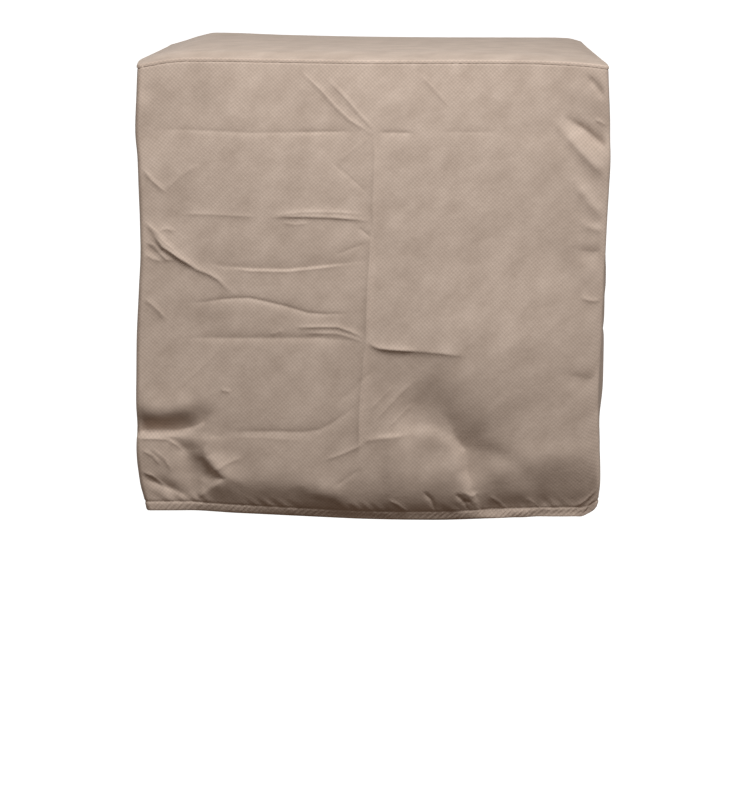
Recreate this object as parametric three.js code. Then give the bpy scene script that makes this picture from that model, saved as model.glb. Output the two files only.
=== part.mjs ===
// A fitted cloth cover as it hangs over the head of a pedestal barbecue.
// It is cut as five panels of spunbonded cloth: a top, and four walls that end in a turned hem.
// Millimetres, +Z up, the front facing -Y. The origin is under the middle of the top, where it rests.

import * as THREE from "three";

// Driving sizes.
const WIDTH = 711;
const DEPTH = 635;
const DROP = 703;
const CLOTH = 1.5;

// The seams: the top is turned down a little over the walls, and sewn pieces lie a hair apart.
const LIP = 5;
const LIP_BEVEL = 1.4;
const SEAM_GAP = 0.3;
const MITRE_SHIFT = SEAM_GAP / Math.SQRT2;

// The hem is the wall's own cloth turned in and stitched, so it is thicker than the rest.
const HEM = 15;
const HEM_TURN = 1.3;
const HEM_STEP = 2.5;

// A table is a list of rows under named columns.
function table(columns, rows) {
  return rows.map((row) => Object.fromEntries(columns.map((name, i) => [name, row[i]])));
}

// A column of a table read at any place, straight from row to row.
function read(rows, place, at, column) {
  const last = rows.length - 1;
  let i = 0;
  while (i < last - 1 && rows[i + 1][place] < at) i += 1;
  const from = rows[i];
  const to = rows[i + 1];
  const share = THREE.MathUtils.clamp((at - from[place]) / (to[place] - from[place]), 0, 1);
  return THREE.MathUtils.lerp(from[column], to[column], share);
}

// The top's edge along the front and the back: its height at each distance from the middle.
// It is held up where the lid ends, and sags past that, most at the back left corner.
const LONG_RIM = table(
  ["x", "front", "back"],
  [
    [-WIDTH / 2, -3, -19],
    [-330, 2, -12],
    [-305, 6, -4],
    [-275, 8, 2],
    [-150, 6.5, -2],
    [0, 4.5, -5],
    [150, 5, -6],
    [230, 4.5, -6],
    [300, 2, -6],
    [330, -0.5, -7],
    [WIDTH / 2, -4, -13],
  ],
);

// The same along the left and right, from the front corner to the back one.
const SIDE_RIM = table(
  ["y", "left", "right"],
  [
    [-DEPTH / 2, -3, -4],
    [-285, 1, -3],
    [-180, -2, -5],
    [-20, -8, -8],
    [150, -14, -11],
    [270, -18, -12.5],
    [DEPTH / 2, -19, -13],
  ],
);
const CROWN = 5;

// Where each upright seam hangs, outwards from the top's corner, at each depth below it.
// a is along X and b along Y: fl is front left, fr front right, bl back left, br back right.
const UPRIGHT_SEAMS = table(
  ["down", "fla", "flb", "fra", "frb", "bla", "blb", "bra", "brb"],
  [
    [0, -1, 0, -1, 0, -1, 0, -1, 0],
    [40, 1, 1, 1, 1, 0, 1, 0, 1],
    [99, 4, -2, 4, -3, 1, -2, 2, -1],
    [140, 1, 1, 4.5, 3, 2, 1, 3, 1],
    [185, 0, 2, 3, 2, 2, 3, 2, 2],
    [236, -1, 0, 1, 1, 1, 2, 1, 2],
    [280, -1.5, 3, -0.5, 2, 2, 4, 1, 3],
    [345, 2, 3, -2.5, 3, 3, 4, -1, 4],
    [431, 7, 2, -4.5, 2, 4, 2, -2, 2],
    [480, 8, 4, -6.5, 3, 5, 3, -3, 3],
    [528, 9, 5, -7.5, 4, 5, 4, -3, 4],
    [567, 9, -6, -7, 4, 4, 2, -3, 2],
    [600, 10, 1, -5, 5, 3, 2, -2, 3],
    [655, 6, -4, -3, 2, 1, 0, -2, 1],
    [DROP - HEM, -1, -8, -5, -5, -3, -5, -6, -4],
    [DROP, -4, -9, -8, -7, -5, -7, -8, -6],
  ],
);

// How far the hem's lower edge is below or above an even length, along each wall.
const LONG_HEM = table(
  ["x", "front", "back"],
  [
    [-WIDTH / 2, 9, 3],
    [-290, 9, -1],
    [-210, 3, -4],
    [-110, -3, -2],
    [0, -8, -5],
    [95, -9, -8],
    [200, -5, -6],
    [330, -2, -1],
    [WIDTH / 2, 14, 4],
  ],
);
const SIDE_HEM = table(
  ["y", "left", "right"],
  [
    [-DEPTH / 2, 9, 14],
    [-290, 6, 0],
    [-180, 0, -3],
    [-20, -5, -7],
    [170, -3, -4],
    [DEPTH / 2, 3, 4],
  ],
);

// How far a wall stands out from straight at each depth: it bellies, then tucks in above the hem.
const BELLY = table(
  ["down", "out"],
  [
    [0, 0],
    [60, 5],
    [160, 9],
    [280, 12],
    [421, 14],
    [520, 14],
    [575, 12],
    [620, 9],
    [655, 2],
    [DROP - HEM, -13],
    [DROP, -15],
  ],
);
const EDGE_FADE = 26;
const BELLY_FADE = 130;

// A seam that hangs out of line carries the cloth beside it with it. Away from the seams the folds
// across a wall ride a little higher at mid-depth than at its ends.
const SEAM_REACH = 90;
const RIDE_UP = 8;
const RIDE_UP_ENDS = 643;
const RIDE_UP_FADE = 100;

// Folds on each wall, as seen from outside. A fold's line runs through its points, each given as the
// distance across from the wall's middle and the depth below the top seam. half is half the fold's
// width, and out is how far it stands out of the wall, negative for a hollow or a crease.
const FOLD_COLUMNS = ["out", "half", "line"];
const FRONT_FOLDS = table(FOLD_COLUMNS, [
  [-2, 9, [[-330, 109], [-34, 109], [8, 112], [147, 112]]],
  [-3, 12, [[-105, 13], [-80, 41], [-45, 82], [-14, 106]]],
  [-2.6, 10, [[-1, 105], [-1, 257], [-8, 300], [-9, 435], [-13, 500], [-16, 587]]],
  [2.8, 10, [[-224, 238], [-110, 238], [-11, 234]]],
  [-2.2, 10, [[-200, 250], [-50, 250], [-8, 257]]],
  [-3, 12, [[-351, 168], [-316, 202]]],
  [2.5, 12, [[-315, 194], [-266, 158]]],
  [-4.5, 13, [[-349, 252], [-309, 294], [-263, 329], [-206, 366]]],
  [3, 14, [[-325, 285], [-290, 300]]],
  [2.6, 11, [[-286, 317], [-202, 323], [-111, 322], [-16, 308]]],
  [-3, 11, [[-264, 374], [-180, 370], [-111, 389], [-42, 388]]],
  [2.4, 10, [[-114, 413], [-50, 413], [-16, 425]]],
  [-2.2, 9, [[-242, 431], [-13, 431]]],
  [-5, 11, [[-2, 439], [50, 452], [142, 462]]],
  [3, 14, [[15, 430], [120, 436]]],
  [-8, 24, [[50, 475], [81, 512], [112, 555], [147, 597]]],
  [6, 16, [[-10, 588], [65, 578], [122, 595]]],
  [9, 15, [[122, 598], [134, 640], [150, 675]]],
  [-6, 16, [[0, 610], [70, 612]]],
  [10, 18, [[-349, 524], [-318, 530], [-289, 513]]],
  [-16, 15, [[-361, 566], [-320, 568], [-280, 558]]],
  [5, 12, [[-345, 590], [-305, 592]]],
  [-9, 13, [[-286, 595], [-288, 655]]],
  [-8, 14, [[-266, 616], [-245, 648]]],
  [8, 18, [[-240, 618], [-212, 634]]],
  [-7, 13, [[-345, 648], [-300, 668]]],
  [5, 12, [[-352, 622], [-325, 632]]],
  [-6, 14, [[-250, 678], [-110, 682]]],
  [6, 16, [[-235, 655], [-110, 662]]],
  [8, 18, [[-92, 668], [-40, 664]]],
  [-3.5, 11, [[-150, 566], [-81, 570], [-13, 530]]],
  [-6, 14, [[150, 612], [212, 614]]],
  [5, 14, [[178, 634], [214, 638]]],
  [7, 20, [[250, 600], [305, 602]]],
  [-11, 24, [[267, 643], [313, 655], [345, 662]]],
  [-6, 14, [[-20, 688], [90, 676], [140, 678]]],
  [-6, 14, [[170, 672], [236, 670]]],
  [-8, 11, [[307, 94], [345, 126]]],
  [6, 15, [[291, 107], [340, 152]]],
  [4, 13, [[318, 190], [350, 238]]],
  [-5, 12, [[325, 288], [348, 292]]],
  [-3, 12, [[254, 266], [323, 338]]],
  [-5, 12, [[-345, 45], [-338, 70]]],
  [5, 45, [[90, 40], [150, 220], [290, 420]]],
  [-5, 40, [[310, 210], [325, 370]]],
  [5, 45, [[-290, 40], [-260, 200]]],
  [-4, 40, [[-190, 90], [-200, 210]]],
  [5, 40, [[-220, 575], [-110, 620]]],
]);
const BACK_FOLDS = table(FOLD_COLUMNS, [
  [-2, 10, [[-330, 109], [330, 108]]],
  [2.6, 10, [[-330, 236], [330, 238]]],
  [-2.4, 10, [[-330, 431], [330, 430]]],
  [-2.6, 10, [[0, 60], [4, 640]]],
  [8, 40, [[-300, 480], [-160, 570]]],
  [9, 26, [[-120, 610], [-20, 650]]],
  [-8, 30, [[60, 570], [170, 650]]],
  [8, 24, [[230, 600], [320, 610]]],
  [-8, 18, [[-325, 570], [-270, 580]]],
]);
const LEFT_FOLDS = table(FOLD_COLUMNS, [
  [-2, 10, [[-300, 109], [300, 109]]],
  [2.6, 10, [[-300, 238], [300, 236]]],
  [-2.4, 10, [[-300, 431], [300, 431]]],
  [2.6, 10, [[0, 60], [2, 630]]],
  [7, 45, [[-240, 440], [-60, 570]]],
  [-8, 30, [[20, 570], [120, 660]]],
  [-9, 20, [[200, 560], [290, 566]]],
  [8, 24, [[180, 610], [270, 630]]],
]);
const RIGHT_FOLDS = table(FOLD_COLUMNS, [
  [-2, 10, [[-300, 109], [300, 109]]],
  [2.6, 10, [[-300, 238], [300, 238]]],
  [-2.4, 10, [[-300, 431], [300, 431]]],
  [2.6, 10, [[0, 60], [-2, 630]]],
  [-6, 18, [[-290, 110], [-240, 150]]],
  [7, 45, [[60, 430], [230, 570]]],
  [-8, 30, [[-200, 570], [-90, 650]]],
  [8, 24, [[130, 610], [240, 640]]],
]);

// A fold's height at one place: highest along its line, falling away smoothly to its sides and ends.
function foldHeight(fold, across, down) {
  const place = new THREE.Vector3(across, down, 0);
  const distances = fold.line.slice(1).map(([a, d], i) => {
    const from = new THREE.Vector3(...fold.line[i], 0);
    const stretch = new THREE.Line3(from, new THREE.Vector3(a, d, 0));
    return stretch.closestPointToPoint(place, true, new THREE.Vector3()).distanceTo(place);
  });
  return fold.out * Math.exp(-0.5 * (Math.min(...distances) / fold.half) ** 2);
}

// One wall, as seen from outside: the direction across it, the direction out of it, and its size.
// ends names the seam's columns at its left and right.
function wall(across, out, span, standoff, rims, ends, folds) {
  return { across, out, span, standoff, rims, ends, folds };
}
const X = new THREE.Vector3(1, 0, 0);
const Y = new THREE.Vector3(0, 1, 0);
const Z = new THREE.Vector3(0, 0, 1);
const longRims = (side) => ({ rim: LONG_RIM, hem: LONG_HEM, place: "x", side });
const sideRims = (side) => ({ rim: SIDE_RIM, hem: SIDE_HEM, place: "y", side });
const FRONT = wall(X, Y.clone().negate(), WIDTH, DEPTH / 2, longRims("front"), ["fl", "fr"], FRONT_FOLDS);
const BACK = wall(X.clone().negate(), Y, WIDTH, DEPTH / 2, longRims("back"), ["br", "bl"], BACK_FOLDS);
const LEFT = wall(Y.clone().negate(), X.clone().negate(), DEPTH, WIDTH / 2, sideRims("left"), ["bl", "fl"], LEFT_FOLDS);
const RIGHT = wall(Y, X, DEPTH, WIDTH / 2, sideRims("right"), ["fr", "br"], RIGHT_FOLDS);

// The distance along X or Y that the rim and hem tables read, for a distance across a wall.
function rimPlace(panel, across) {
  return panel.rims.place === "x" ? across * panel.across.x : across * panel.across.y;
}

// The seam at one end of a wall: how far it is moved along the wall, and out of it, at a depth.
function seamOffset(panel, end, down) {
  const alongX = read(UPRIGHT_SEAMS, "down", down, panel.ends[end] + "a");
  const alongY = read(UPRIGHT_SEAMS, "down", down, panel.ends[end] + "b");
  const faceIsX = Math.abs(panel.out.x) > 0.5;
  const outwards = faceIsX ? alongX : alongY;
  const sideways = faceIsX ? alongY : alongX;
  return { sideways: end === 0 ? -sideways : sideways, outwards };
}

// 1 at a seam or edge, falling away to 0 past a distance from it.
function fading(distance, reach) {
  return Math.exp(-((distance / reach) ** 2));
}

// A point on a wall's outer face.
function wallPoint(panel, across, down) {
  const share = across / panel.span + 0.5;
  const left = seamOffset(panel, 0, down);
  const right = seamOffset(panel, 1, down);
  const fromLeft = across + panel.span / 2;
  const fromRight = panel.span / 2 - across;
  const toEdge = Math.min(fromLeft, fromRight);
  const nearSeams = left.outwards * fading(fromLeft, SEAM_REACH) + right.outwards * fading(fromRight, SEAM_REACH);
  const belly = read(BELLY, "down", down, "out") * (1 - fading(toEdge, BELLY_FADE));
  const fold = panel.folds.reduce((sum, f) => sum + foldHeight(f, across, down), 0);
  const atSeams = THREE.MathUtils.smoothstep(down, 0, 20) * THREE.MathUtils.smoothstep(toEdge, 0, EDGE_FADE);
  const out = nearSeams + belly + fold * atSeams;
  const sideways = THREE.MathUtils.lerp(left.sideways, right.sideways, share);
  const place = rimPlace(panel, across);
  const top = read(panel.rims.rim, panel.rims.place, place, panel.rims.side) - LIP - SEAM_GAP;
  const bottom = read(panel.rims.hem, panel.rims.place, place, panel.rims.side) - DROP;
  const middling = Math.sin(Math.PI * Math.min(1, down / RIDE_UP_ENDS));
  const rideUp = RIDE_UP * middling * (1 - fading(toEdge, RIDE_UP_FADE));
  return new THREE.Vector3()
    .addScaledVector(panel.across, across + sideways)
    .addScaledVector(panel.out, panel.standoff + out)
    .addScaledVector(Z, THREE.MathUtils.lerp(top, bottom, down / DROP) + rideUp);
}

// Places where the grid of a sheet has its lines: the ones asked for, and even ones between them.
function stations(asked, spacing) {
  const sorted = [...new Set(asked)].sort((p, q) => p - q);
  return sorted.flatMap((at, i) => {
    if (i === sorted.length - 1) return [at];
    const parts = Math.max(1, Math.round((sorted[i + 1] - at) / spacing));
    return Array.from({ length: parts }, (_, k) => at + ((sorted[i + 1] - at) * k) / parts);
  });
}

// The outward normal of a grid of points, from its neighbours.
function gridNormal(grid, i, j) {
  const columns = grid.length - 1;
  const rows = grid[0].length - 1;
  const right = grid[Math.min(i + 1, columns)][j].clone().sub(grid[Math.max(i - 1, 0)][j]);
  const lower = grid[i][Math.min(j + 1, rows)].clone().sub(grid[i][Math.max(j - 1, 0)]);
  return lower.cross(right).normalize();
}

// A closed sheet between two grids of points: a thin box whose own grid is moved onto them.
// Seen from outside, columns run to the right and rows run down.
function sheetGeometry(outer, inner) {
  const columns = outer.length - 1;
  const rows = outer[0].length - 1;
  const geometry = new THREE.BoxGeometry(1, 1, 1, columns, rows, 1);
  const position = geometry.getAttribute("position");
  for (let n = 0; n < position.count; n += 1) {
    const i = Math.round((position.getX(n) + 0.5) * columns);
    const j = Math.round((0.5 - position.getY(n)) * rows);
    const point = position.getZ(n) > 0 ? outer[i][j] : inner[i][j];
    position.setXYZ(n, point.x, point.y, point.z);
  }
  geometry.computeVertexNormals();
  return geometry;
}

// A wall's sheet. Its ends are cut to a mitre, its top edge is level across the cloth,
// and below the stitching of the hem the cloth is doubled inwards.
function wallGeometry(panel, acrossLines, downLines) {
  const last = acrossLines.length - 1;
  const outer = acrossLines.map((across, i) =>
    downLines.map((down) => {
      const shift = i === 0 ? MITRE_SHIFT : i === last ? -MITRE_SHIFT : 0;
      return wallPoint(panel, across, down).addScaledVector(panel.across, shift);
    }),
  );
  const inner = outer.map((column, i) =>
    column.map((point, j) => {
      const depth = CLOTH + (downLines[j] > DROP - HEM ? HEM_TURN : 0);
      const straight = j === 0 || i === 0 || i === last;
      const inwards = straight ? panel.out.clone().negate() : gridNormal(outer, i, j).negate();
      const mitre = i === 0 ? depth : i === last ? -depth : 0;
      return point.clone().addScaledVector(inwards, depth).addScaledVector(panel.across, mitre);
    }),
  );
  return sheetGeometry(outer, inner);
}

// The height of the top's outer face: the rims blended across it, and a low crown over the lid.
function topHeight(x, y) {
  const u = x / WIDTH + 0.5;
  const v = y / DEPTH + 0.5;
  const rim = (rows, place, at, side) => read(rows, place, at, side);
  const lengthwise = THREE.MathUtils.lerp(rim(LONG_RIM, "x", x, "front"), rim(LONG_RIM, "x", x, "back"), v);
  const crosswise = THREE.MathUtils.lerp(rim(SIDE_RIM, "y", y, "left"), rim(SIDE_RIM, "y", y, "right"), u);
  const corner = (place, side) => rim(LONG_RIM, "x", place * WIDTH / 2, side);
  const front = THREE.MathUtils.lerp(corner(-1, "front"), corner(1, "front"), u);
  const back = THREE.MathUtils.lerp(corner(-1, "back"), corner(1, "back"), u);
  const crown = CROWN * Math.min(1, 16 * u * (1 - u) * v * (1 - v) * 2);
  return lengthwise + crosswise - THREE.MathUtils.lerp(front, back, v) + crown;
}

// The top's sheet: nearly level, and turned down all round into the lip that meets the walls.
function topGeometry(xLines, yLines) {
  const inset = (value, half) => THREE.MathUtils.clamp(value, LIP_BEVEL - half, half - LIP_BEVEL);
  const xs = [-WIDTH / 2, ...xLines.map((x) => inset(x, WIDTH / 2)), WIDTH / 2];
  const ys = [DEPTH / 2, ...yLines.map((y) => inset(y, DEPTH / 2)).reverse(), -DEPTH / 2];
  const onLip = (i, j) => i === 0 || j === 0 || i === xs.length - 1 || j === ys.length - 1;
  const centre = topHeight(0, 0) - CLOTH;
  const outer = xs.map((x, i) =>
    ys.map((y, j) => new THREE.Vector3(x, y, topHeight(x, y) - (onLip(i, j) ? LIP : 0))),
  );
  const side = (i, count) => (i === 0 ? 1 : i === count - 1 ? -1 : 0);
  const nextToLip = (i, count) => (i === 1 ? 1 : i === count - 2 ? -1 : 0);
  const inner = outer.map((column, i) =>
    column.map((point, j) => {
      const x = side(i, xs.length);
      const y = -side(j, ys.length);
      if (x || y) return point.clone().add(new THREE.Vector3(x * CLOTH, y * CLOTH, 0));
      const a = nextToLip(i, xs.length);
      const b = -nextToLip(j, ys.length);
      return point.clone().add(new THREE.Vector3(a * CLOTH * 0.7, b * CLOTH * 0.7, -CLOTH));
    }),
  );
  return { geometry: sheetGeometry(outer, inner), centre };
}

// The lines that every panel shares where it meets another, and the finer ones on the front.
const seamDowns = UPRIGHT_SEAMS.map((row) => row.down);
const longPlaces = [...LONG_RIM.map((row) => row.x), ...LONG_HEM.map((row) => row.x)];
const sidePlaces = [...SIDE_RIM.map((row) => row.y), ...SIDE_HEM.map((row) => row.y)];
const hemDowns = [DROP - HEM, DROP - HEM + HEM_STEP];
const nearSeam = (span) => [-span / 2 + 10, -span / 2 + 24, span / 2 - 24, span / 2 - 10];
const creaseDowns = [94, 109, 124, 222, 250, 308, 322, 374, 389, 413, 446, 462, 548, 583, 670];
const frontDowns = stations([...seamDowns, ...hemDowns, ...creaseDowns, 20], 21);
const plainDowns = stations([...seamDowns, ...hemDowns, 20], 40);
const frontAcross = stations([...longPlaces, ...nearSeam(WIDTH), -13, 0, 13], 22);
const backAcross = stations([...longPlaces, ...nearSeam(WIDTH)], 40);
const sideAcross = stations([...sidePlaces, ...nearSeam(DEPTH)], 40);
const mirrored = (lines) => lines.map((at) => -at).reverse();

const top = topGeometry(stations(longPlaces, 50), stations(sidePlaces, 50));
const clothColour = new THREE.Color().setHex(0xb4a08d, THREE.SRGBColorSpace);

const cover = new THREE.Group();
cover.position.z = -top.centre;

function addPanel(name, geometry) {
  const cloth = new THREE.MeshStandardMaterial({ color: clothColour, roughness: 0.85, metalness: 0 });
  const panel = new THREE.Mesh(geometry, cloth);
  panel.name = name;
  cover.add(panel);
}

addPanel("top_panel", top.geometry);
addPanel("front_panel", wallGeometry(FRONT, frontAcross, frontDowns));
addPanel("back_panel", wallGeometry(BACK, mirrored(backAcross), plainDowns));
addPanel("left_panel", wallGeometry(LEFT, mirrored(sideAcross), plainDowns));
addPanel("right_panel", wallGeometry(RIGHT, sideAcross, plainDowns));

export default cover;
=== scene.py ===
from math import cos, pi, radians, sin, sqrt

import bmesh
import bpy
import numpy as np
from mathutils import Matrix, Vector


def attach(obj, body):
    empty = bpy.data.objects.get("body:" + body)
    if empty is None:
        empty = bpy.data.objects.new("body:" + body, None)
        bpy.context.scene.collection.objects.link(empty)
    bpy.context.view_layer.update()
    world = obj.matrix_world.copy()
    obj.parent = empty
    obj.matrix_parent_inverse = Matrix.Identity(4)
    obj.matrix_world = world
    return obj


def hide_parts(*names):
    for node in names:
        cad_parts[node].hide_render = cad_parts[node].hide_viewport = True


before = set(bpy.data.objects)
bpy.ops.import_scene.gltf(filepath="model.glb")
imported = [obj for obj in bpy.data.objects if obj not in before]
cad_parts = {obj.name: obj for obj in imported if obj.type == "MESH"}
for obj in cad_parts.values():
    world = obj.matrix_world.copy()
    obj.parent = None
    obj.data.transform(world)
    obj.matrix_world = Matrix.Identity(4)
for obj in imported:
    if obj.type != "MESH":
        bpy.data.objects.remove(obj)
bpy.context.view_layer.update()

# The camera stands about four and a half metres off, a little above the top and looking slightly down,
# with a long lens, so the top is a narrow band and the walls stand nearly square.
PHOTO_LONG_SIDE_PX = 800
SENSOR_MM = 36
FOCAL_PX = 2800
CAMERA_AT = (0.0344, -4.540, 0.3316)
LOOKS_DOWN = 11.41
LOOKS_LEFT = 0.49

camera_data = bpy.data.cameras.new("camera")
camera_data.sensor_width = SENSOR_MM
camera_data.lens = FOCAL_PX * SENSOR_MM / PHOTO_LONG_SIDE_PX
camera_data.clip_end = 200
camera = bpy.data.objects.new("camera", camera_data)
camera.location = CAMERA_AT
camera.rotation_euler = (radians(90 - LOOKS_DOWN), 0, radians(LOOKS_LEFT))
bpy.context.scene.collection.objects.link(camera)
bpy.context.scene.camera = camera

# The top is one rectangle of thin spunbonded cloth. Its edge is turned down over the walls
# and sewn to them. It is held up in the middle, where it rests, and sags towards its ends.
# Lengths are in millimetres, and REST_LEVEL sets its middle just over the origin, where it rests.
WIDTH = 711
DEPTH = 635
LIP = 5
LIP_UPRIGHT = 2.2
LIP_BEND = 2.8
CORNER_RADIUS = 7
CLOTH = 1.2
CROWN = 5
REST_LEVEL = -4.47
TOP_SPACING = 4.0
LIP_SPACING = 0.9
LIP_STRIP = 15
LIP_PUCKER = 0.15


def table(columns, rows):
    """A list of rows, kept as one array for each named column."""
    return {name: np.array([row[i] for row in rows], float) for i, name in enumerate(columns.split())}


def read(rows, place, column, at):
    """A column of a table read at any places, along a smooth curve through its rows."""
    places, values = rows[place], rows[column]
    rise = np.diff(values) / np.diff(places)
    same_way = rise[:-1] * rise[1:] > 0
    safe = np.where(same_way, rise[:-1] + rise[1:], 1)
    slopes = np.concatenate([rise[:1], np.where(same_way, 2 * rise[:-1] * rise[1:] / safe, 0), rise[-1:]])
    i = np.clip(np.searchsorted(places, at, side="right") - 1, 0, len(places) - 2)
    gap = places[i + 1] - places[i]
    t = np.clip((at - places[i]) / gap, 0, 1)
    begin = (2 * t**3 - 3 * t**2 + 1) * values[i] + (t**3 - 2 * t**2 + t) * gap * slopes[i]
    end = (3 * t**2 - 2 * t**3) * values[i + 1] + (t**3 - t**2) * gap * slopes[i + 1]
    return begin + end


# The height of the top's edge, in millimetres, at each distance from the middle.
LONG_RIM = table("x front back", [
    [-WIDTH / 2, -3, -19],
    [-330, 2, -12],
    [-305, 6, -4],
    [-275, 8, 2],
    [-150, 6.5, -2],
    [0, 4.5, -5],
    [150, 5, -6],
    [230, 4.5, -6],
    [300, 2, -6],
    [330, -0.5, -7],
    [WIDTH / 2, -4, -13],
])
SIDE_RIM = table("y left right", [
    [-DEPTH / 2, -3, -4],
    [-285, 1, -3],
    [-180, -2, -5],
    [-20, -8, -8],
    [150, -14, -11],
    [270, -18, -12.5],
    [DEPTH / 2, -19, -13],
])


def lines_at(asked, spacing):
    """The places of a sheet's grid lines: the ones asked for, and even ones between them."""
    asked = sorted(set(asked))
    parts = [np.linspace(a, b, max(1, round((b - a) / spacing)) + 1)[:-1] for a, b in zip(asked, asked[1:])]
    return np.append(np.concatenate(parts), asked[-1])


def along_line(line, across, down):
    """For each place: how far it is from a line, how far beside it, and how far along it is nearest."""
    near = np.full(across.shape, 1e9)
    beside = np.zeros(across.shape)
    along = np.zeros(across.shape)
    length = 0.0
    for (a, b), (c, d) in zip(line, line[1:]):
        step = sqrt((c - a) ** 2 + (d - b) ** 2)
        share = np.clip(((across - a) * (c - a) + (down - b) * (d - b)) / step**2, 0, 1)
        off = np.hypot(across - a - share * (c - a), down - b - share * (d - b))
        nearer = off < near
        near[nearer] = off[nearer]
        beside[nearer] = (((c - a) * (down - b) - (d - b) * (across - a)) / step)[nearer]
        along[nearer] = (length + share * step)[nearer]
        length += step
    return near, beside, along, length


def cut_cloth(name, across_lines, down_lines, closer=()):
    """A flat piece of cloth as a grid, split closer along some lines, and where its corners lie on it."""
    cloth = bmesh.new()
    columns, rows = len(across_lines) - 1, len(down_lines) - 1
    bmesh.ops.create_grid(cloth, x_segments=columns, y_segments=rows, size=0.5)
    for corner in cloth.verts:
        i, j = round((corner.co.x + 0.5) * columns), round((0.5 - corner.co.y) * rows)
        corner.co = (across_lines[i], -down_lines[j], 0)
    for reach, longest, lines in closer:
        ends = np.array([[edge.verts[0].co[:2], edge.verts[1].co[:2]] for edge in cloth.edges])
        middle, length = ends.mean(axis=1), np.hypot(*(ends[:, 1] - ends[:, 0]).T)
        near = np.min([along_line(line, middle[:, 0], -middle[:, 1])[0] for line in lines], axis=0)
        coarse = (near < reach) & (length > longest)
        split = [edge for edge, is_coarse in zip(cloth.edges, coarse) if is_coarse]
        bmesh.ops.subdivide_edges(cloth, edges=split, cuts=1, use_grid_fill=True)
    for edge in cloth.edges:
        edge.smooth = not edge.is_boundary
    mesh = bpy.data.meshes.new(name)
    cloth.to_mesh(mesh)
    cloth.free()
    corners = np.empty(len(mesh.vertices) * 3, np.float32)
    mesh.vertices.foreach_get("co", corners)
    corners = corners.reshape(-1, 3).astype(float)
    return mesh, corners[:, 0], -corners[:, 1]


# Spunbonded polypropylene: fine fibres laid at random and melted together on a heated roller.
# The roller leaves a lattice of small dents on the diagonal, drawn as bumps and as painted shade in the
# colour, and the cloth is matt, a little cloudy where the fibres lie thin or thick, and softly crumpled
# across its slant.
LATTICE_MM = 4.4
CLOUD_MM = 40
CLOUD_STRETCH = 1.5
DENT_MM = 9
FIBRE_MM = 1.6
THIN_COLOUR = "#B6A496"
THICK_COLOUR = "#CAB8AA"


def linear(hex_colour):
    """An sRGB hex colour as linear red, green and blue, with an alpha of one."""
    parts = [int(hex_colour[i:i + 2], 16) / 255 for i in (1, 3, 5)]
    return tuple(c / 12.92 if c <= 0.04045 else ((c + 0.055) / 1.055) ** 2.4 for c in parts) + (1.0,)


def add_node(tree, kind, settings, links):
    """One node with its settings, and its inputs set to values or linked to other nodes' outputs."""
    node = tree.nodes.new(kind)
    for key, value in settings.items():
        setattr(node, key, value)
    for key, value in links.items():
        if isinstance(value, bpy.types.NodeSocket):
            tree.links.new(value, node.inputs[key])
        else:
            node.inputs[key].default_value = value
    return node


spunbond = bpy.data.materials.new("spunbonded_polypropylene")
spunbond.use_nodes = True
tree = spunbond.node_tree
tree.nodes.clear()
cloth_uv = add_node(tree, "ShaderNodeUVMap", {"uv_map": "cloth"}, {}).outputs["UV"]
turns = 2 * pi / (LATTICE_MM / 1000)
slants = []
for across_part, down_part in ((sqrt(0.5), sqrt(0.5)), (sqrt(0.5), -sqrt(0.5))):
    measure = (across_part * turns, down_part * turns, 0)
    phase = add_node(tree, "ShaderNodeVectorMath", {"operation": "DOT_PRODUCT"}, {0: cloth_uv, 1: measure})
    slants.append(add_node(tree, "ShaderNodeMath", {"operation": "COSINE"}, {0: phase.outputs["Value"]}))
lattice = add_node(tree, "ShaderNodeMath", {"operation": "ADD"},
                   {0: slants[0].outputs[0], 1: slants[1].outputs[0]}).outputs[0]
drawn = add_node(tree, "ShaderNodeMapping", {"vector_type": "TEXTURE"}, {
    "Vector": cloth_uv, "Rotation": (0, 0, radians(-45)), "Scale": (1, CLOUD_STRETCH, 1),
}).outputs[0]
clouds = add_node(tree, "ShaderNodeTexNoise", {}, {
    "Vector": drawn, "Scale": 1000 / CLOUD_MM, "Detail": 6.0, "Roughness": 0.66,
}).outputs[0]
dents = add_node(tree, "ShaderNodeTexNoise", {}, {
    "Vector": cloth_uv, "Scale": 1000 / DENT_MM, "Detail": 2.0, "Roughness": 0.5,
}).outputs[0]
fibres = add_node(tree, "ShaderNodeTexNoise", {}, {
    "Vector": cloth_uv, "Scale": 1000 / FIBRE_MM, "Detail": 2.0, "Roughness": 0.6,
}).outputs[0]
cloudy = add_node(tree, "ShaderNodeMapRange", {}, {
    "Value": clouds, "From Min": 0.32, "From Max": 0.68, "To Min": 0.0, "To Max": 1.0,
}).outputs[0]
ground = add_node(tree, "ShaderNodeMix", {"data_type": "RGBA"}, {
    0: cloudy, 6: linear(THIN_COLOUR), 7: linear(THICK_COLOUR),
}).outputs[2]
# The lattice in the colour: the cloth's own pattern of dents, with painted shade, darker in the dents and
# lighter between them.
lattice_tone_and_dent_shade = add_node(tree, "ShaderNodeMapRange", {}, {
    "Value": lattice, "From Min": -2.0, "From Max": 2.0, "To Min": 0.88, "To Max": 1.11,
}).outputs[0]
speckled = add_node(tree, "ShaderNodeMapRange", {}, {
    "Value": fibres, "From Min": 0.2, "From Max": 0.8, "To Min": 0.95, "To Max": 1.05,
}).outputs[0]
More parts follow.
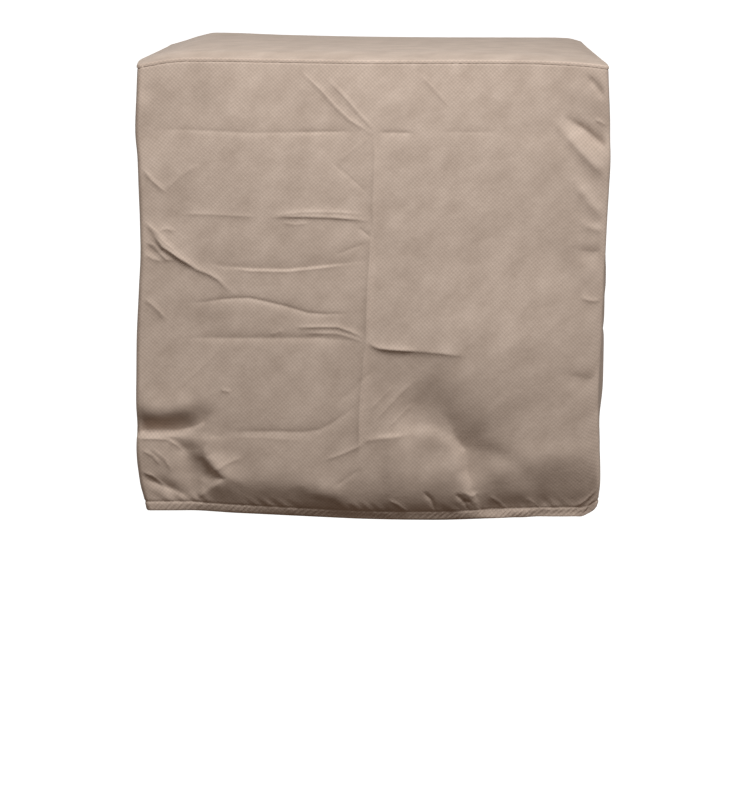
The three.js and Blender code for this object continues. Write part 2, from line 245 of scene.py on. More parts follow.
# The painted dent shade and the fibre speckle, multiplied together into the colour.
lattice_speckle_and_dent_shade = add_node(tree, "ShaderNodeMath", {"operation": "MULTIPLY"}, {0: lattice_tone_and_dent_shade, 1: speckled}).outputs[0]
colour = add_node(tree, "ShaderNodeVectorMath", {"operation": "SCALE"}, {
    0: ground, "Scale": lattice_speckle_and_dent_shade,
}).outputs[0]
matt = add_node(tree, "ShaderNodeMapRange", {}, {
    "Value": dents, "From Min": 0.2, "From Max": 0.8, "To Min": 0.72, "To Max": 0.88,
}).outputs[0]
crumple = add_node(tree, "ShaderNodeBump", {}, {"Height": clouds, "Distance": 0.004, "Strength": 0.24})
dimple = add_node(tree, "ShaderNodeBump", {},
                  {"Height": dents, "Distance": 0.0008, "Strength": 0.3, "Normal": crumple.outputs[0]})
emboss = add_node(tree, "ShaderNodeBump", {},
                  {"Height": lattice, "Distance": 0.00004, "Strength": 0.6, "Normal": dimple.outputs[0]})
cloth_shader = add_node(tree, "ShaderNodeBsdfPrincipled", {}, {
    "Base Color": colour, "Roughness": matt, "Normal": emboss.outputs[0], "IOR": 1.49,
    "Specular IOR Level": 0.35, "Sheen Weight": 0.12, "Sheen Roughness": 0.5,
})
add_node(tree, "ShaderNodeOutputMaterial", {}, {"Surface": cloth_shader.outputs[0]})


def sew(mesh, across, down, points, node):
    """Put a piece of cloth in its place, give it its thickness, and let it stand for a CAD node."""
    mesh.vertices.foreach_set("co", (points / 1000).astype(np.float32).ravel())
    corner = np.empty(len(mesh.loops), np.int32)
    mesh.loops.foreach_get("vertex_index", corner)
    flat = np.stack([across, -down], axis=1) / 1000
    mesh.uv_layers.new(name="cloth").data.foreach_set("uv", flat[corner].astype(np.float32).ravel())
    mesh.polygons.foreach_set("use_smooth", np.ones(len(mesh.polygons), bool))
    mesh.update()
    piece = bpy.data.objects.new(mesh.name, mesh)
    bpy.context.scene.collection.objects.link(piece)
    mesh.materials.append(spunbond)
    doubled = piece.modifiers.new("thickness", "SOLIDIFY")
    doubled.thickness = CLOTH / 1000
    doubled.offset = -1
    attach(piece, "root")
    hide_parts(node)
    return piece


def top_height(x, y):
    """The height of the top's face: its four edges blended across it, and a low crown where it rests."""
    u, v = x / WIDTH + 0.5, y / DEPTH + 0.5
    lengthwise = (1 - v) * read(LONG_RIM, "x", "front", x) + v * read(LONG_RIM, "x", "back", x)
    crosswise = (1 - u) * read(SIDE_RIM, "y", "left", y) + u * read(SIDE_RIM, "y", "right", y)
    front = (1 - u) * LONG_RIM["front"][0] + u * LONG_RIM["front"][-1]
    back = (1 - u) * LONG_RIM["back"][0] + u * LONG_RIM["back"][-1]
    crown = CROWN * np.minimum(1, 32 * u * (1 - u) * v * (1 - v))
    return lengthwise + crosswise - (1 - v) * front - v * back + crown


def lip_profile(along):
    """How far the cloth has come in from the wall, and how low it still is, from its lower edge on."""
    bend = np.clip((along - LIP_UPRIGHT) / LIP_BEND, 0, pi / 2)
    level = np.maximum(along - LIP_UPRIGHT - LIP_BEND * pi / 2, 0)
    inwards = LIP_BEND * (1 - np.cos(bend)) + level
    lower = np.maximum(LIP_UPRIGHT - along, 0) + LIP_BEND * (1 - np.sin(bend))
    return inwards, lower


# Shallow waves in the top, as seen from above: height, half width, and the line each follows.
TOP_WAVES = [
    [-2.5, 26, [(-345, -120), (-300, -170), (-210, -215), (-100, -190)]],
    [2.0, 30, [(-330, -250), (-180, -270), (-40, -262)]],
    [-1.6, 34, [(40, -150), (180, -120), (300, -170)]],
    [1.8, 32, [(120, -250), (240, -262), (320, -240)]],
    [1.5, 40, [(-160, 60), (60, 120), (240, 80)]],
    [-1.6, 36, [(-260, 180), (-60, 230), (200, 200)]],
]


def ease(t):
    """A smooth step from 0 to 1."""
    t = np.clip(t, 0, 1)
    return t * t * (3 - 2 * t)


def top_lines(span, level_to, close_from):
    """Grid lines for the top: even over it, and close where its edge turns down at either end."""
    even = lines_at([-span / 2, -level_to, level_to, span / 2], TOP_SPACING)
    first_edge = np.arange(-span / 2, -close_from, LIP_SPACING)
    last_edge = span / 2 - np.arange(0, LIP_STRIP, LIP_SPACING)
    return np.unique(np.concatenate([even, first_edge, last_edge]))


top_mesh, across, down = cut_cloth("top_cloth", top_lines(WIDTH, 350, 340), top_lines(DEPTH, 312, 303))
from_side, from_end = WIDTH / 2 - np.abs(across), DEPTH / 2 - np.abs(down)
from_edge = np.minimum(from_side, from_end)
side_in, _ = lip_profile(from_side)
end_in, _ = lip_profile(from_end)
_, lower = lip_profile(from_edge)
p, q = CORNER_RADIUS - side_in, CORNER_RADIUS - end_in
in_corner = (p > 0) & (q > 0)
reach = np.where(in_corner, np.maximum(p, q) / np.maximum(np.hypot(p, q), 1e-9), 1.0)
p, q = p * reach, q * reach
x = np.sign(across) * (WIDTH / 2 - CORNER_RADIUS + p)
y = -np.sign(down) * (DEPTH / 2 - CORNER_RADIUS + q)
height = top_height(x, y) - lower
free = ease(from_edge / 40)
for out, half, line in TOP_WAVES:
    near, _, _, _ = along_line(line, x, y)
    height += out * np.exp(-0.5 * (near / half) ** 2) * free
pucker = np.sin((x + y) / 4.1 + 1.5 * np.sin((x - y) / 23))
height += LIP_PUCKER * pucker * np.exp(-from_edge / 5)
top_cloth = sew(top_mesh, across, down, np.stack([x, y, height + REST_LEVEL], axis=1), "top_panel")

# The walls are four pieces of the same cloth, sewn to the top and to each other. They hang from it,
# belly out a little where the cover fills, and end in a hem turned in and stitched.
DROP = 703
HEM = 15
SEAM_GAP = 0.3
TUCKED_UNDER_LIP = 4
TUCK_DEPTH = 0.9
BELLY_FADE = 130
SEAM_REACH = 90
SEAM_PUCKER = 0.35
RIDE_UP = 8
RIDE_UP_ENDS = 643
RIDE_UP_FADE = 100
HEM_GROOVE = 1.3
HEM_ROLL = 0.5
HEM_EDGE_TURN = 0.9
HEM_ROPING = 0.8
GATHERS = 0.8
SHARP_HALF_WIDTH = 8
STEEP_SHARE = 0.12

# Where each upright seam hangs, outwards from the top's corner, at each depth below it.
# a is along X and b along Y: fl is front left, fr front right, bl back left, br back right.
UPRIGHT_SEAMS = table("down fla flb fra frb bla blb bra brb", [
    [0, -1, 0, -1, 0, -1, 0, -1, 0],
    [40, 1, 1, 1, 1, 0, 1, 0, 1],
    [99, 4, -2, 4, -3, 1, -2, 2, -1],
    [140, 1, 1, 4.5, 3, 2, 1, 3, 1],
    [185, 0, 2, 3, 2, 2, 3, 2, 2],
    [236, -1, 0, 1, 1, 1, 2, 1, 2],
    [280, -1.5, 3, -0.5, 2, 2, 4, 1, 3],
    [345, 2, 3, -2.5, 3, 3, 4, -1, 4],
    [431, 7, 2, -4.5, 2, 4, 2, -2, 2],
    [480, 8, 4, -6.5, 3, 5, 3, -3, 3],
    [528, 9, 5, -7.5, 4, 5, 4, -3, 4],
    [560, 9, -4, -7, 4, 4, 2, -3, 2],
    [577, 9, -7, -6.5, 4, 4, 2, -3, 2],
    [584, 9.5, -1, -6, 4.5, 3.5, 2, -2.5, 2.5],
    [600, 10, 1, -5, 5, 3, 2, -2, 3],
    [655, 6, -4, -3, 2, 1, 0, -2, 1],
    [DROP - HEM, -1, -8, -5, -5, -3, -5, -6, -4],
    [DROP, -4, -9, -8, -7, -5, -7, -8, -6],
])
LONG_HEM = table("x front back", [
    [-WIDTH / 2, 9, 3],
    [-290, 9, -1],
    [-210, 3, -4],
    [-110, -3, -2],
    [0, -8, -5],
    [95, -9, -8],
    [200, -5, -6],
    [330, -2, -1],
    [WIDTH / 2, 14, 4],
])
SIDE_HEM = table("y left right", [
    [-DEPTH / 2, 9, 14],
    [-290, 6, 13],
    [-180, 0, 4],
    [-20, -5, -7],
    [170, -3, -4],
    [DEPTH / 2, 3, 4],
])
BELLY = table("down out", [
    [0, 0],
    [60, 5],
    [160, 9],
    [280, 12],
    [421, 14],
    [520, 14],
    [575, 12],
    [620, 9],
    [650, 4],
    [672, -4],
    [DROP - HEM, -13],
    [DROP, -24],
])


def folded(folds, across, down):
    """How far the cloth stands out at each place for its folds. A crease is sharp along its line."""
    out = np.zeros(across.shape)
    for kind, height, above, below, line in folds:
        margin = 4.5 * max(above, below)
        places = np.array(line, float)
        low, high = places.min(axis=0) - margin, places.max(axis=0) + margin
        here = (across > low[0]) & (across < high[0]) & (down > low[1]) & (down < high[1])
        near, beside, along, length = along_line(line, across[here], down[here])
        blend = ease(0.5 - beside / min(above, below))
        half = below + (above - below) * blend
        from_end = np.minimum(along, length - along)
        if kind == "crease":
            sharp = 0.3 * min(above, below)
            shape = np.exp(-(np.sqrt(near**2 + sharp**2) - sharp) / (0.62 * half))
            shape *= ease(from_end / (0.28 * length))
        else:
            shape = np.exp(-0.5 * (near / half) ** 2)
            shape *= 0.45 + 0.55 * ease(from_end / (0.3 * length))
        out[here] += height * shape
    return out


def closer_passes(span, folds):
    """Where a wall's grid is split closer: how near to which lines, and down to what length of edge."""
    sharp = [fold for fold in folds if min(fold[2:4]) < SHARP_HALF_WIDTH]
    steep = [fold for fold in sharp if abs(fold[1]) / min(fold[2:4]) > STEEP_SHARE]
    above_hem = [(-span / 2, DROP - HEM), (span / 2, DROP - HEM)]
    in_hem = [(-span / 2, DROP - HEM / 2), (span / 2, DROP - HEM / 2)]
    return [
        (9, 4.2, [fold[4] for fold in sharp]),
        (20, 4.2, [above_hem]),
        (HEM / 2, 2.1, [in_hem]),
        (4.5, 2.1, [fold[4] for fold in steep]),
    ]


def hem_relief(s, down, to_edge, start):
    """The hem's stitched groove, its roll and slanting ropes, and the gathers it pulls in above it."""
    in_hem = down - DROP + HEM
    share = np.clip(in_hem / HEM, 0, 1)
    off_seam = ease(to_edge / 12)
    groove = -HEM_GROOVE * np.exp(-((in_hem / 1.8) ** 2))
    roll = HEM_ROLL * np.sin(pi * share**0.8) - HEM_EDGE_TURN * ease((down - DROP + 2.2) / 2.2)
    slant = s + 0.9 * (down - DROP)
    roping = HEM_ROPING * off_seam * np.sin(slant / 1.5 + 2.2 * np.sin(s / 29) + sin(start))
    roping = roping * (0.75 + 0.25 * np.sin(s / 17 + 1)) * np.sin(pi * share) ** 0.7 * (share > 0)
    gathers = GATHERS * np.sin((s - 0.8 * down) / 3.4 + 2.4 * np.sin(s / 37))
    gathers = gathers * (0.5 + 0.5 * np.sin(s / 23 + 2)) * np.exp(-(((in_hem + 7) / 8) ** 2)) * off_seam
    return groove + roll + roping + gathers


def hang(name, node, side, span, standoff, ends, folds, across_lines, down_lines, fine=False):
    """One wall: its cloth bent round half of each corner, hung from the rim down to its hem."""
    closer = closer_passes(span, folds) if fine else ()
    mesh, s, down = cut_cloth(name, across_lines, down_lines, closer)
    is_long = side in ("front", "back")
    direction, outwards = {
        "front": ((1, 0), (0, -1)), "back": ((-1, 0), (0, 1)),
        "left": ((0, -1), (-1, 0)), "right": ((0, 1), (1, 0)),
    }[side]

    # Round half of each corner.
    cloth_half = span / 2 - CORNER_RADIUS * (1 - pi / 4)
    to_edge = cloth_half - np.abs(s)
    turn = np.clip(pi / 4 - to_edge / CORNER_RADIUS, 0, pi / 4)
    bent = np.sign(s) * (span / 2 - CORNER_RADIUS + CORNER_RADIUS * np.sin(turn))
    across = np.where(turn > 0, bent, s)
    rounding = -CORNER_RADIUS * (1 - np.cos(turn))

    # Along the upright seams, which pull the wall out and sideways near them.
    outward_axis, sideways_axis = ("b", "a") if is_long else ("a", "b")
    share = s / (2 * cloth_half) + 0.5
    depth = np.clip(down, 0, DROP)
    first, last = ends
    seam = {end + axis: read(UPRIGHT_SEAMS, "down", end + axis, depth) for end in ends for axis in "ab"}
    near_first = np.exp(-(((cloth_half + s) / SEAM_REACH) ** 2))
    near_last = np.exp(-(((cloth_half - s) / SEAM_REACH) ** 2))
    outward = near_first * seam[first + outward_axis] + near_last * seam[last + outward_axis]
    sideways = -(1 - share) * seam[first + sideways_axis] + share * seam[last + sideways_axis]

    # Out of the wall's plane: its belly, folds, tuck under the lip, pucker and hem.
    belly = read(BELLY, "down", "out", depth) * (1 - np.exp(-((to_edge / BELLY_FADE) ** 2)))
    fold = folded(folds, s, down) * ease(down / 16) * ease(to_edge / 14)
    tuck = -TUCK_DEPTH * (1 - ease((down + 1) / 4))
    pucker_fade = np.exp(-np.maximum(down, 0) / 7) * ease((down + 3) / 4)
    seam_pucker = SEAM_PUCKER * np.sin(s / 1.9 + 2 * np.sin(s / 31)) * pucker_fade
    relief = fold + belly + tuck + seam_pucker + hem_relief(s, down, to_edge, len(name))
    lean = np.sign(s) * np.sin(turn)
    along_wall = across + sideways + relief * lean
    from_middle = standoff + outward + rounding + relief * np.cos(turn)
    x = direction[0] * along_wall + outwards[0] * from_middle
    y = direction[1] * along_wall + outwards[1] * from_middle

    # From the height of the rim down to that of the hem, riding up over the belly.
    place = across * (direction[0] if is_long else direction[1])
    rim, low_edge, axis = (LONG_RIM, LONG_HEM, "x") if is_long else (SIDE_RIM, SIDE_HEM, "y")
    top = read(rim, axis, side, place) - LIP - SEAM_GAP
    bottom = read(low_edge, axis, side, place) - DROP
    ride_up = RIDE_UP * np.sin(pi * np.clip(down / RIDE_UP_ENDS, 0, 1))
    ride_up = ride_up * (1 - np.exp(-((to_edge / RIDE_UP_FADE) ** 2)))
    z = top + (bottom - top) * down / DROP + ride_up + REST_LEVEL
    return sew(mesh, s, down, np.stack([x, y, z], axis=1), node)


def spaced(stretches):
    """Grid lines over stretches that follow each other, each with its end and its own spacing."""
    at, lines = stretches[0], [np.array([stretches[0]])]
    for end, spacing in stretches[1:]:
        lines.append(lines_at([at, end], spacing)[1:])
        at = end
    return np.concatenate(lines)


def wall_lines(span, across_stretches, down_stretches, hem_spacing, tight):
    """Grid lines for a wall: close at its corners, top edge and hem, and as asked elsewhere."""
    cloth_half = span / 2 - CORNER_RADIUS * (1 - pi / 4)
    inner = cloth_half - 12
    across = spaced([-cloth_half, (-inner, tight), *across_stretches, (inner, across_stretches[-1][1]),
                     (cloth_half, tight)])
    down = spaced([-TUCKED_UNDER_LIP, (4, 1.0), *down_stretches, (DROP - HEM - 3, down_stretches[-1][1]),
                   (DROP, hem_spacing)])
    return across, down


# The front wall keeps the creases of its packet, sags into a pocket at its lower left and a valley at
# its lower right, and is drawn in by its hem. Its folds, as seen from outside: how far each stands out,
# its half width above and below its line, or right and left of an upright one, and the line itself,
# across from the middle and down.
FRONT_FOLDS = [
    ["crease", -1.0, 6, 5, [(-346, 100), (-260, 107), (-183, 110), (-31, 105), (-4, 104)]],
    ["crease", -0.8, 5, 4, [(-125, 108), (-79, 106), (-28, 104)]],
    ["crease", 1.5, 3.5, 4.5, [(-116, 6), (-79, 40), (-56, 66), (-35, 86), (6, 112)]],
    ["crease", 1.3, 3.5, 4, [(-72, 20), (-41, 52), (-22, 75), (8, 108)]],
    ["crease", 0.7, 4.5, 4.5, [(-55, 152), (-31, 133), (-4, 111)]],
    ["crease", -0.7, 4, 4, [(-67, 149), (-42, 170), (-4, 203)]],
    ["crease", 2.0, 4, 6, [(2, 96), (1, 174), (-1, 220), (2, 268)]],
    ["crease", 4.2, 4, 10, [(3, 236), (-3, 267), (-5, 343), (-4, 450)]],
    ["crease", 3.8, 4, 10, [(-4, 410), (-8, 482), (-11, 520), (-14, 604)]],
    ["crease", 1.0, 6, 4, [(-301, 235), (-225, 238), (-164, 240)]],
    ["crease", 2.6, 9, 3.5, [(-164, 241), (-134, 238), (-103, 237), (-60, 237), (-27, 239), (3, 243)]],
    ["crease", 1.2, 3.5, 3.5, [(-160, 238), (-134, 234), (-103, 230), (-50, 229), (-6, 232)]],
    ["crease", 0.8, 3.5, 3.5, [(-141, 247), (-119, 250), (-96, 247)]],
    ["crease", -1.1, 4, 4, [(-24, 251), (-1, 268)]],
    ["crease", -2.0, 12, 3.5, [(-266, 309), (-224, 318), (-185, 320), (-128, 319), (-79, 312), (-41, 307),
                               (-4, 300)]],
    ["crease", 1.4, 3, 3.5, [(-240, 316), (-185, 323), (-128, 322), (-79, 315), (-20, 305)]],
    ["crease", -0.9, 5, 4, [(-60, 297), (-35, 285), (-6, 274)]],
    ["crease", 1.9, 4, 5, [(-352, 151), (-334, 176), (-312, 201)]],
    ["crease", 1.1, 6, 5, [(-319, 198), (-292, 177), (-262, 157)]],
    ["crease", 2.8, 7, 4.5, [(-352, 234), (-338, 253), (-321, 281), (-299, 299), (-285, 310), (-266, 322),
                             (-246, 330), (-233, 338), (-221, 350), (-204, 361)]],
    ["crease", 2.6, 12, 4, [(-334, 262), (-321, 281), (-299, 299), (-266, 321)]],
    ["crease", 2.0, 5, 4, [(-352, 237), (-340, 247), (-330, 258), (-317, 277), (-297, 293)]],
    ["crease", 1.4, 4, 4, [(-330, 262), (-322, 255), (-312, 255), (-301, 262)]],
    ["crease", 1.9, 4, 4, [(-351, 268), (-336, 277), (-324, 291), (-315, 302), (-299, 306)]],
    ["soft", -2.5, 9, 6, [(-350, 280), (-332, 288)]],
    ["crease", 1.4, 4, 4, [(-350, 288), (-336, 298), (-320, 305)]],
    ["crease", 1.7, 5, 5, [(-349, 357), (-333, 371), (-321, 384), (-309, 400)]],
    ["soft", -2.2, 14, 9, [(-345, 30), (-336, 52)]],
    ["soft", -2.6, 30, 21, [(-285, 60), (-245, 66)]],
    ["soft", -2.4, 27, 33, [(-155, 64), (-94, 66)]],
    ["crease", -1.9, 4, 5, [(-288, 374), (-256, 373), (-226, 368), (-207, 366), (-184, 365), (-161, 369),
                            (-130, 375), (-95, 384), (-69, 385), (-15, 381)]],
    ["soft", -1.0, 12, 12, [(-272, 407), (-230, 405)]],
    ["crease", -1.8, 8, 7, [(-300, 430), (-277, 429), (-158, 425), (-75, 421), (-6, 424)]],
    ["crease", 2.1, 4, 3.5, [(-120, 407), (-75, 404), (-49, 403), (-29, 409), (-4, 420)]],
    ["crease", 1.2, 4, 3.5, [(-106, 415), (-49, 413), (-29, 418), (-2, 427)]],
    ["crease", 0.8, 4, 4, [(-152, 420), (-130, 411)]],
    ["crease", 1.3, 4.5, 4.5, [(-226, 506), (-208, 509)]],
    ["crease", 0.8, 5, 5, [(-295, 512), (-246, 465), (-219, 434)]],
    ["crease", -0.8, 5, 5, [(-50, 524), (-16, 490), (14, 461)]],
    ["soft", -8.5, 14, 3, [(-372, 572), (-316, 574), (-290, 574), (-272, 569), (-252, 558)]],
    ["soft", 8.2, 18, 13, [(-352, 544), (-314, 545), (-290, 538), (-266, 518)]],
    ["crease", 2.0, 3, 4, [(-372, 577), (-327, 577), (-304, 579), (-294, 588)]],
    ["crease", 2.0, 3, 6, [(-372, 584), (-331, 584), (-307, 587), (-292, 597), (-281, 612)]],
    ["soft", -7, 8, 12, [(-300, 590), (-278, 606), (-272, 632), (-277, 662)]],
    ["soft", 8, 14, 7, [(-246, 590), (-250, 612), (-232, 630), (-218, 642), (-236, 658), (-254, 674)]],
    ["soft", -6, 7, 14, [(-262, 604), (-248, 634), (-258, 656)]],
    ["crease", 2.2, 6, 6, [(-244, 636), (-220, 620), (-190, 606)]],
    ["crease", 1.6, 5, 5, [(-276, 688), (-247, 661), (-222, 642)]],
    ["soft", -5, 7, 5, [(-345, 650), (-321, 660), (-296, 674)]],
    ["crease", 2.4, 5, 5, [(-356, 635), (-334, 645), (-314, 667)]],
    ["crease", 1.4, 4, 4, [(-350, 600), (-330, 612), (-318, 630)]],
    ["crease", 1.2, 4, 4, [(-336, 596), (-312, 618), (-302, 640)]],
    ["crease", -1.9, 7, 9, [(-228, 571), (-142, 566), (-100, 565), (-73, 560), (-57, 551), (-34, 535),
                            (-2, 509)]],
    ["crease", 0.5, 4, 4, [(-236, 580), (-160, 576), (-96, 577)]],
    ["crease", 1.4, 4, 4, [(-70, 607), (-35, 593), (-2, 576)]],
    ["crease", -0.9, 4.5, 4.5, [(-57, 648), (-35, 633), (-10, 615)]],
    ["soft", -1.5, 12, 5, [(-258, 690), (-190, 690), (-112, 690)]],
    ["soft", -3, 9, 6, [(-112, 691), (-43, 696), (42, 694)]],
    ["soft", 5, 18, 8, [(-90, 655), (-58, 660), (-38, 672)]],
    ["soft", 5, 40, 20, [(-205, 636), (-60, 640)]],
    ["crease", -1.5, 5, 6, [(4, 106), (29, 106), (66, 107)]],
    ["crease", -0.7, 6, 5, [(96, 105), (190, 106)]],
    ["soft", -0.8, 10.5, 10.5, [(217, 108), (253, 107)]],
    ["crease", 0.9, 4, 4, [(68, 14), (90, 37), (116, 68)]],
    ["soft", 1.6, 8, 8, [(318, 3), (334, 14), (350, 34)]],
    ["soft", -3.2, 5, 5, [(324, 14), (338, 30), (352, 48)]],
    ["soft", -1.2, 12, 13.5, [(286, 42), (304, 66), (319, 84)]],
    ["soft", -5, 5, 6, [(294, 84), (317, 97), (335, 111), (354, 124)]],
    ["soft", 4, 8, 6, [(280, 96), (302, 120), (324, 142), (350, 164)]],
    ["crease", 1.6, 4, 4, [(331, 78), (352, 88)]],
    ["soft", 3, 7, 7, [(303, 176), (327, 206), (352, 232)]],
    ["soft", 2, 5, 5, [(320, 240), (354, 252)]],
    ["soft", -3, 6, 10, [(312, 282), (356, 286)]],
    ["soft", -2.6, 18, 21, [(240, 250), (279, 302), (313, 336), (353, 370)]],
    ["crease", 1.8, 6, 5, [(318, 352), (354, 362)]],
    ["soft", -2.2, 6, 12, [(306, 474), (356, 487)]],
    ["soft", 1.2, 13.5, 12, [(17, 258), (42, 258)]],
    ["crease", 3.0, 16, 6, [(-8, 422), (11, 431), (35, 435), (80, 437), (111, 439), (160, 446)]],
    ["crease", 2.4, 6, 4, [(-6, 424), (16, 434), (76, 437)]],
    ["soft", 9, 60, 60, [(60, 430), (180, 432), (300, 424)]],
    ["soft", -11, 32, 34, [(54, 494), (90, 540), (116, 578), (140, 616)]],
    ["soft", 6, 60, 36, [(130, 450), (176, 510), (206, 560)]],
    ["soft", -8, 26, 6, [(134, 566), (152, 592), (153, 622), (160, 650)]],
    ["crease", 0.9, 4, 4, [(2, 530), (42, 488)]],
    ["crease", 0.9, 4, 4, [(8, 548), (50, 503), (76, 478)]],
    ["crease", 0.8, 4, 4, [(30, 556), (73, 516)]],
    ["crease", 1.7, 6, 7, [(-14, 578), (4, 572), (35, 568), (66, 564)]],
    ["soft", 7, 8, 24, [(56, 566), (100, 567), (121, 580), (131, 600), (130, 626), (146, 650)]],
    ["soft", 5, 30, 40, [(20, 606), (70, 606)]],
    ["soft", -3.4, 9, 18, [(150, 590), (176, 593), (199, 599), (225, 612)]],
    ["soft", 3, 12, 14, [(184, 626), (216, 620)]],
    ["soft", 4, 16, 20, [(225, 612), (262, 606), (330, 602)]],
    ["soft", -18, 46, 16, [(232, 696), (290, 694), (356, 690)]],
    ["soft", -6, 13.5, 6, [(163, 688), (197, 686), (259, 685)]],
    ["soft", -4, 12, 6, [(42, 692), (104, 692), (145, 689)]],
    ["crease", -2.6, 4, 4, [(81, 650), (95, 666), (101, 690)]],
    ["crease", -3.0, 4, 4, [(131, 655), (145, 670), (160, 674)]],
    ["crease", -2.6, 4, 4, [(143, 668), (153, 688)]],
    ["crease", 1.6, 4, 4, [(140, 652), (158, 662), (170, 656)]],
    ["crease", 1.6, 4, 4, [(24, 664), (42, 674), (60, 690)]],
    ["crease", 1.6, 4, 4, [(182, 662), (200, 676), (214, 692)]],
    ["crease", 1.6, 4, 4, [(240, 668), (256, 680), (270, 694)]],
    ["crease", 2.6, 4, 4, [(316, 690), (337, 674), (360, 660)]],
    ["crease", 2.4, 4, 4, [(322, 700), (342, 685), (362, 672)]],
]
front_across, front_down = wall_lines(WIDTH, [(0, 6.0)], [(300, 6.0)], 1.5, 1.8)
front_cloth = hang("front_cloth", "front_panel", "front", WIDTH, DEPTH / 2, ("fl", "fr"),
                   FRONT_FOLDS, front_across, front_down, fine=True)

# The back and the two sides are cut and hung as the front is, with the creases that the cover
# was folded along in its packet, and their own slack above the hem.
BACK_FOLDS = [
    ["crease", -2.4, 9, 8, [(-330, 109), (-120, 110), (60, 107), (330, 108)]],
    ["crease", 2.7, 10, 7, [(-330, 236), (-60, 240), (330, 238)]],
    ["crease", -2.7, 11, 9, [(-330, 431), (40, 432), (330, 430)]],
    ["crease", 3.3, 10, 12, [(0, 60), (-3, 260), (3, 430), (4, 640)]],
    ["soft", 7, 40, 36, [(-300, 480), (-160, 570)]],
    ["soft", 7, 26, 20, [(-120, 610), (-20, 650)]],
    ["soft", -7, 30, 26, [(60, 570), (170, 650)]],
    ["soft", 7, 24, 18, [(230, 600), (320, 610)]],
    ["soft", -8, 20, 8, [(-325, 570), (-270, 580)]],
    ["crease", 2.1, 6, 6, [(-90, 20), (-50, 66), (0, 107)]],
    ["crease", 1.8, 6, 6, [(110, 170), (52, 206), (0, 238)]],
    ["crease", 2.4, 8, 5, [(330, 250), (268, 300), (200, 372)]],
    ["crease", -2.1, 7, 6, [(-240, 360), (-150, 384), (-20, 380)]],
    ["soft", 4.3, 45, 40, [(-250, 60), (-220, 200)]],
    ["soft", -4, 50, 40, [(170, 80), (210, 220)]],
]
back_across, back_down = wall_lines(WIDTH, [(0, 5.0)], [(300, 5.0)], 2.2, 2.4)
back_cloth = hang("back_cloth", "back_panel", "back", WIDTH, DEPTH / 2, ("br", "bl"),
                  BACK_FOLDS, back_across, back_down)

LEFT_FOLDS = [
    ["crease", -2.4, 9, 8, [(-300, 109), (20, 111), (300, 109)]],
    ["crease", 2.7, 10, 7, [(-300, 238), (-40, 235), (300, 236)]],
    ["crease", -2.7, 11, 9, [(-300, 431), (60, 430), (300, 431)]],
    ["crease", 3.3, 10, 12, [(0, 60), (4, 240), (-2, 420), (2, 630)]],
    ["soft", 6, 45, 40, [(-240, 440), (-60, 570)]],
    ["soft", -7, 30, 26, [(20, 570), (120, 660)]],
    ["soft", -8, 20, 8, [(200, 560), (290, 566)]],
    ["soft", 7, 24, 20, [(180, 610), (270, 630)]],
    ["crease", 2.2, 7, 6, [(120, 30), (60, 74), (2, 110)]],
    ["crease", 2.2, 8, 5, [(300, 260), (230, 296), (160, 350)]],
    ["crease", -2, 6, 6, [(-250, 300), (-130, 330), (-10, 326)]],
    ["soft", 4, 45, 40, [(-180, 70), (-150, 200)]],
]
side_across, side_down = wall_lines(DEPTH, [(0, 5.0)], [(300, 5.0)], 2.2, 2.4)
left_cloth = hang("left_cloth", "left_panel", "left", DEPTH, WIDTH / 2, ("bl", "fl"),
                  LEFT_FOLDS, side_across, side_down)

RIGHT_FOLDS = [
    ["crease", -2.4, 9, 8, [(-300, 109), (-30, 107), (300, 109)]],
    ["crease", 2.7, 10, 7, [(-300, 238), (80, 240), (300, 238)]],
    ["crease", -2.7, 11, 9, [(-300, 431), (0, 433), (300, 431)]],
    ["crease", 3.3, 10, 12, [(0, 60), (-3, 260), (2, 440), (-2, 630)]],
    ["soft", -5, 18, 14, [(-300, 110), (-240, 150)]],
    ["soft", 6, 45, 40, [(60, 430), (230, 570)]],
    ["soft", -7, 30, 26, [(-200, 570), (-90, 650)]],
    ["soft", 7, 24, 20, [(130, 610), (240, 640)]],
    ["crease", 2.2, 7, 6, [(-110, 24), (-50, 70), (-2, 108)]],
    ["crease", 2.1, 7, 5, [(-290, 280), (-200, 330), (-130, 392)]],
    ["crease", -2, 6, 6, [(30, 330), (140, 350), (260, 336)]],
    ["soft", 4, 45, 40, [(170, 70), (150, 210)]],
]
right_cloth = hang("right_cloth", "right_panel", "right", DEPTH, WIDTH / 2, ("fr", "br"),
                   RIGHT_FOLDS, side_across, side_down)

# The studio: a pale lit floor well below the hem, a soft box above the front that falls off down the
# walls, two weak wide lights from the right and from behind, and a surround that is bright above and
# dim and warm below.
FLOOR_BELOW = 1.12
FLOOR_HALF = 60
KEY_AT = Vector((0.10, -1.60, 1.25))
KEY_AIM = Vector((0.0, -0.32, -0.25))
KEY_SIZE = 0.9
KEY_WATTS = 31.5
SUN_SPREAD = 25
SUNS = [("side_light", 0.8, 58, 58), ("back_light", 1.2, 86, 218)]
DIM_BELOW = (0.10, 0.065, 0.045, 1)
BRIGHT_ABOVE = (0.30, 0.283, 0.262, 1)

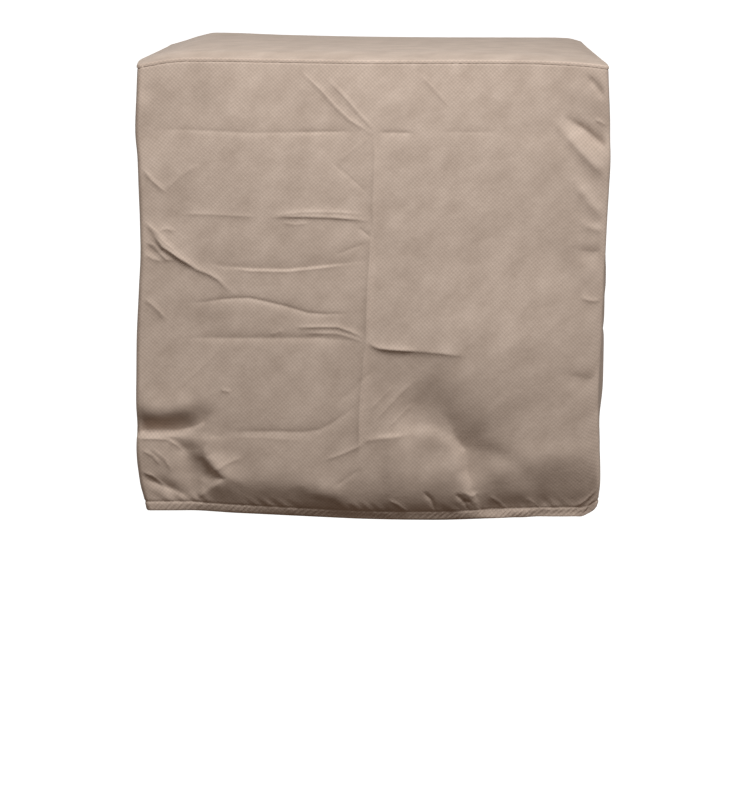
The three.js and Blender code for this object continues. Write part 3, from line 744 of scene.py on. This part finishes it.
floor_shape = bmesh.new()
bmesh.ops.create_grid(floor_shape, x_segments=8, y_segments=8, size=FLOOR_HALF)
bmesh.ops.translate(floor_shape, verts=floor_shape.verts, vec=(0, 0, -FLOOR_BELOW))
floor_mesh = bpy.data.meshes.new("studio_floor")
floor_shape.to_mesh(floor_mesh)
floor_shape.free()
studio_floor = bpy.data.objects.new("studio_floor", floor_mesh)
bpy.context.scene.collection.objects.link(studio_floor)
studio_floor.visible_diffuse = False
studio_floor.visible_glossy = False
paper = bpy.data.materials.new("lit_paper")
paper.use_nodes = True
paper_shader = paper.node_tree.nodes["Principled BSDF"]
paper_shader.inputs["Base Color"].default_value = linear("#B8B8B8")
paper_shader.inputs["Roughness"].default_value = 0.9
paper_shader.inputs["Specular IOR Level"].default_value = 0.0
paper_shader.inputs["Emission Color"].default_value = (1, 1, 1, 1)
paper_shader.inputs["Emission Strength"].default_value = 0.9
floor_mesh.materials.append(paper)

key_data = bpy.data.lights.new("soft_box", "AREA")
key_data.energy = KEY_WATTS
key_data.size = KEY_SIZE
soft_box = bpy.data.objects.new("soft_box", key_data)
soft_box.location = KEY_AT
soft_box.rotation_euler = (KEY_AIM - KEY_AT).to_track_quat("-Z", "Y").to_euler()
soft_box.visible_camera = False
bpy.context.scene.collection.objects.link(soft_box)

for name, energy, tilt, turn in SUNS:
    light_data = bpy.data.lights.new(name, "SUN")
    light_data.energy = energy
    light_data.angle = radians(SUN_SPREAD)
    light = bpy.data.objects.new(name, light_data)
    light.rotation_euler = (radians(tilt), 0, radians(turn))
    bpy.context.scene.collection.objects.link(light)

surround = bpy.data.worlds.new("surround")
surround.use_nodes = True
sky = surround.node_tree
direction = add_node(sky, "ShaderNodeTexCoord", {}, {}).outputs["Generated"]
upward = add_node(sky, "ShaderNodeSeparateXYZ", {}, {"Vector": direction}).outputs["Z"]
rise = add_node(sky, "ShaderNodeMapRange", {}, {
    "Value": upward, "From Min": -0.25, "From Max": 0.45,
}).outputs[0]
hue = add_node(sky, "ShaderNodeMix", {"data_type": "RGBA"}, {
    0: rise, 6: DIM_BELOW, 7: BRIGHT_ABOVE,
}).outputs[2]
sky.links.new(hue, sky.nodes["Background"].inputs["Color"])
bpy.context.scene.world = surround
bpy.context.scene.view_settings.view_transform = "Standard"
